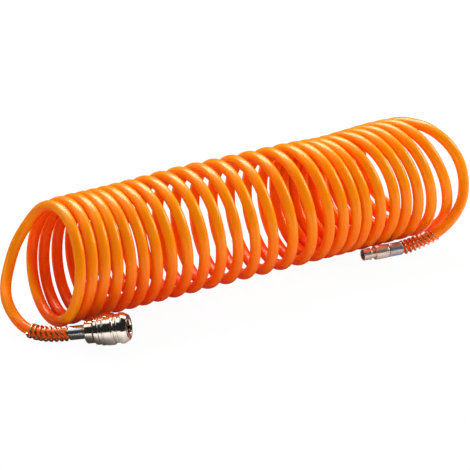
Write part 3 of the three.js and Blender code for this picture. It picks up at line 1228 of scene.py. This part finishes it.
    def build_ball(self, index: int) -> bpy.types.Object:
        """One locking ball at its locked place."""
        bm = bmesh.new()
        out = self.ball_turn(index) @ Matrix.Translation((self.ball_at * MM, self.bore * MM, 0))
        bmesh.ops.create_uvsphere(
            bm, u_segments=32, v_segments=20, radius=self.ball * MM, matrix=out
        )
        body = Body.BALL.value.format(index + 1)
        node = f"locking_ball_{index + 1}"
        return self.put(
            f"lock_ball_{index + 1}", bm, self.finishes.wire, body, node
        )

    def dress_inside(self) -> None:
        """Gives the hidden CAD pieces their materials."""
        kept = {
            "coupler_stem": self.finishes.brass,
            "sleeve_retaining_clip": self.finishes.wire,
        }
        for node, material in kept.items():
            for slot in frame["nodes"][node].material_slots:
                slot.material = material
            log.info("%s: kept, dressed in %s", node, material.name)

    def build(self) -> list[bpy.types.Object]:
        """Makes the whole coupler.

        Returns:
            Its new pieces.
        """
        built = [
            self.build_sleeve(),
            self.build_rear_body(),
            self.build_barrel(),
            self.build_ferrule(),
            self.build_poppet(),
            self.build_seal(),
        ]
        built += [self.build_ball(index) for index in range(self.ball_count)]
        built += [spring.build(self.axis, self.finishes.wire) for spring in self.springs]
        self.dress_inside()
        return built


def scoop(
    start: tuple[float, float], end: tuple[float, float], floor: float
) -> list[tuple[float, float]]:
    """A rounded groove between two rims of an outline.

    Args:
        start: the first rim, [place along the axis, radius].
        end: the second rim.
        floor: the radius at the groove's deepest.

    Returns:
        The groove's points, with both rims.
    """
    points = []
    for i in range(GROOVE_STEPS + 1):
        turn = math.pi * i / GROOVE_STEPS
        share = (1 - math.cos(turn)) / 2
        along, rim = (a + (b - a) * share for a, b in zip(start, end))
        points.append((along, rim - (rim - floor) * math.sin(turn)))
    return points


def ferrule_outline(start: float, end: float, outer: float = 6.2, wall: float = 0.85) -> Outline:
    """A ferrule's outline, with a rolled edge at each end.

    Args:
        start: where it starts along the axis.
        end: where it ends.
        outer: its outer radius.
        wall: its wall.

    Returns:
        The closed outline.
    """
    return [
        (start, outer - wall),
        (end, outer - wall),
        (end, outer - 0.35),
        (end - 0.35, outer),
        (start + 0.35, outer),
        (start, outer - 0.35),
    ]


# ------------------------------------------------------------------------------------------ plug


@dataclass
class Plug:
    """The plug, in millimetres along its own axis from its mouth."""

    finishes: Finishes
    axis: Axis = PLUG_AXIS
    neck_at: float = 7.9
    body_at: float = 12.2
    body_end: float = 25.6
    barbed: float = 11.6

    def nipple_outline(self) -> Outline:
        """Nose, ridge, neck, body and barbed tail outside; the air way inside."""
        nose, ridge, neck, body = 5.3, 5.7, 4.5, 6.6
        outside = [
            (0, 4.25),
            (0, nose - 0.35),
            (0.35, nose),
            (6.3, nose),
            (6.65, ridge),
            (self.neck_at - 0.35, ridge),
            (self.neck_at + 0.7, neck),
            (self.body_at - 0.7, neck),
            (self.body_at, body - 0.35),
            (self.body_at + 0.35, body),
            (self.body_end - 1.4, body),
            (self.body_end - 1.05, body - 0.45),
            (self.body_end - 0.7, body - 0.45),
            (self.body_end, body - 0.9),
        ]
        pitch = self.barbed / 3
        barbs = []
        for i in range(3):
            at = self.body_end + i * pitch
            rise = at + pitch * 0.3
            barbs += [(at, 2.5), (rise, 2.5), (rise, 2.9), (at + pitch, 2.5)]
        inside = [
            (self.body_end + self.barbed, 1.8),
            (self.body_at + 7, 1.8),
            (self.body_at + 3, 3.3),
            (6.3, 3.3),
            (4.7, 3.9),
            (0.35, 3.9),
        ]
        return outside + barbs + inside

    def build(self) -> list[bpy.types.Object]:
        """Makes the plug and its ferrule.

        Returns:
            The two pieces.
        """
        nipple = mesh_object("plug_body", turned(self.nipple_outline(), 112, 0.1), self.axis.matrix)
        stand(nipple, self.finishes.plug_nickel, Body.HOSE.value)
        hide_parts("plug_nipple")
        even_normals(nipple)
        outline = ferrule_outline(self.body_end + 0.3, self.body_end + 13.9)
        ferrule = mesh_object("plug_crimp", turned(outline, 96, 0.12), self.axis.matrix)
        stand(ferrule, self.finishes.plug_zinc, Body.HOSE.value)
        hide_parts("plug_ferrule")
        even_normals(ferrule)
        return [nipple, ferrule]


# ---------------------------------------------------------------------------------------- studio


@dataclass(frozen=True)
class Lamp:
    """A soft box."""

    name: str
    place: tuple[float, float, float]
    size: tuple[float, float]
    watts: float
    colour: tuple[float, float, float] = (1.0, 1.0, 1.0)
    seen: bool = True

    def build(self, target: Vector) -> None:
        """Adds the lamp.

        Args:
            target: what it is aimed at.
        """
        light = bpy.data.lights.new(self.name, "AREA")
        light.shape = "RECTANGLE"
        light.size, light.size_y = self.size
        light.energy = self.watts
        light.color = self.colour
        obj = bpy.data.objects.new(self.name, light)
        obj.location = self.place
        obj.rotation_euler = (target - obj.location).to_track_quat("-Z", "Y").to_euler()
        obj.visible_glossy = self.seen
        obj.visible_camera = False
        bpy.context.scene.collection.objects.link(obj)


@dataclass
class Studio:
    """Camera, floor, surroundings and lamps."""

    eye: Vector = Vector((-1.1859, -1.9344, 1.0549))
    back: Vector = Vector((-0.46663, -0.78602, 0.40550))
    right: Vector = Vector((0.85989, -0.51049, 0.0))
    up: Vector = Vector((0.20700, 0.34869, 0.91409))
    aim_right: float = 0.010154
    aim_down: float = 0.003959
    lens: float = 208.95
    ambient: float = 0.33
    floor_glow: float = 0.96
    lamps: tuple[Lamp, ...] = (
        Lamp("top_back_box", (0.25, 0.95, 1.35), (1.6, 0.8), 42.0),
        Lamp("right_box", (1.5, -0.35, 0.9), (0.7, 0.8), 18.0),
        Lamp("front_fill", (-0.5, -1.9, 1.1), (1.6, 1.2), 11.0, (1.0, 1.0, 1.0), False),
    )

    def build_camera(self) -> None:
        """The camera, at the photograph's viewing angle."""
        data = bpy.data.cameras.new("studio_camera")
        data.sensor_width = 36.0
        data.lens = self.lens
        camera = bpy.data.objects.new("studio_camera", data)
        camera.location = self.eye
        look = -self.back + self.right * self.aim_right - self.up * self.aim_down
        camera.rotation_euler = look.to_track_quat("-Z", "Y").to_euler()
        bpy.context.scene.collection.objects.link(camera)
        bpy.context.scene.camera = camera

    def build_floor(self) -> None:
        """The plain pale floor, which keeps the object's shadow."""
        bm = bmesh.new()
        bmesh.ops.create_grid(bm, x_segments=1, y_segments=1, size=4.0)
        mesh = bpy.data.meshes.new("floor")
        bm.to_mesh(mesh)
        bm.free()
        floor = bpy.data.objects.new("floor", mesh)
        material, shader, place = new_material("pale_floor")
        path = shader.node("ShaderNodeLightPath")
        matt = shader.node("ShaderNodeBsdfDiffuse", {}, {"Color": (0.9, 0.9, 0.9, 1.0)}).outputs[0]
        white = {"Color": (1.0, 1.0, 1.0, 1.0)}
        glow = shader.node("ShaderNodeEmission", {}, white).outputs[0]
        painted_dark_reflection = shader.node("ShaderNodeEmission", {}, {"Color": (0.06, 0.05, 0.04, 1.0)}).outputs[0]
        seen = shader.value(path.outputs["Is Camera Ray"]) * self.floor_glow
        lit = shader.node("ShaderNodeMixShader", {}, {0: seen, 1: matt, 2: glow}).outputs[0]
        split = shader.node("ShaderNodeSeparateXYZ", {}, {0: place})
        # Painted shade: behind a line under the coupler the floor turns dark for reflections only,
        # so the metal's lower rims mirror a painted dark patch.
        depth = shader.value(split.outputs["Y"]) - shader.value(split.outputs["X"]) * 0.14
        behind = depth.rise(-0.07, -0.035) * path.outputs["Is Glossy Ray"] * 0.95
        both = shader.node("ShaderNodeMixShader", {}, {0: behind, 1: lit, 2: painted_dark_reflection}).outputs[0]
        shader.node("ShaderNodeOutputMaterial", {}, {"Surface": both})
        mesh.materials.append(material)
        bpy.context.scene.collection.objects.link(floor)

    def build_surroundings(self) -> None:
        """White behind the object, even light on it, and a dim room for metal to mirror."""
        world = bpy.data.worlds.new("studio_room")
        bpy.context.scene.world = world
        world.use_nodes = True
        shader = Shader(world.node_tree)
        direction = shader.node("ShaderNodeTexCoord").outputs["Generated"]
        split = shader.node("ShaderNodeSeparateXYZ", {}, {0: direction})
        height = shader.value(split.outputs["Z"])
        depth = shader.value(split.outputs["Y"])
        low = height.rise(-0.1, 0.02, 1.0, 0.0)
        behind = depth.rise(-0.04, 0.1) * height.rise(0.35, 0.6)
        room = low * 0.7 + (1 - low) * behind * 1.5 + 0.02
        path = shader.node("ShaderNodeLightPath")
        glossy = shader.value(path.outputs["Is Glossy Ray"])
        seen = shader.value(path.outputs["Is Camera Ray"]) + path.outputs["Is Transmission Ray"]
        strength = seen + glossy * room + (1 - seen - glossy) * self.ambient
        inputs = {"Color": (1.0, 1.0, 1.0, 1.0), "Strength": strength}
        sky = shader.node("ShaderNodeBackground", {}, inputs)
        shader.node("ShaderNodeOutputWorld", {}, {"Surface": sky.outputs[0]})

    def build(self) -> None:
        """Sets the studio up."""
        view = bpy.context.scene.view_settings
        view.view_transform = "Standard"
        self.build_camera()
        self.build_floor()
        self.build_surroundings()
        for lamp in self.lamps:
            lamp.build(Vector((0.0, 0.0, 0.06)))
        log.info("studio: %d lamps", len(self.lamps))


# ------------------------------------------------------------------------------------------ main


def main() -> None:
    logging.basicConfig(level=logging.INFO, format="%(name)s: %(message)s")
    Studio().build()
    finishes = Finishes()
    hose = Hose()
    tube = hose.build(finishes.hose)
    guard = GuardSpring()
    guard.build(
        "coupler_guard", "coupler_kink_spring", hose.guard_path(False), finishes.wire, slump=1.9
    )
    plug_guard = guard.build("plug_guard", "plug_kink_spring", hose.guard_path(True), finishes.wire)
    Coupler(finishes).build()
    plug_pieces = Plug(finishes).build()
    round(hose.route.length(), 2)
    bpy.context.view_layer.update()


if __name__ == "__main__":
    main()
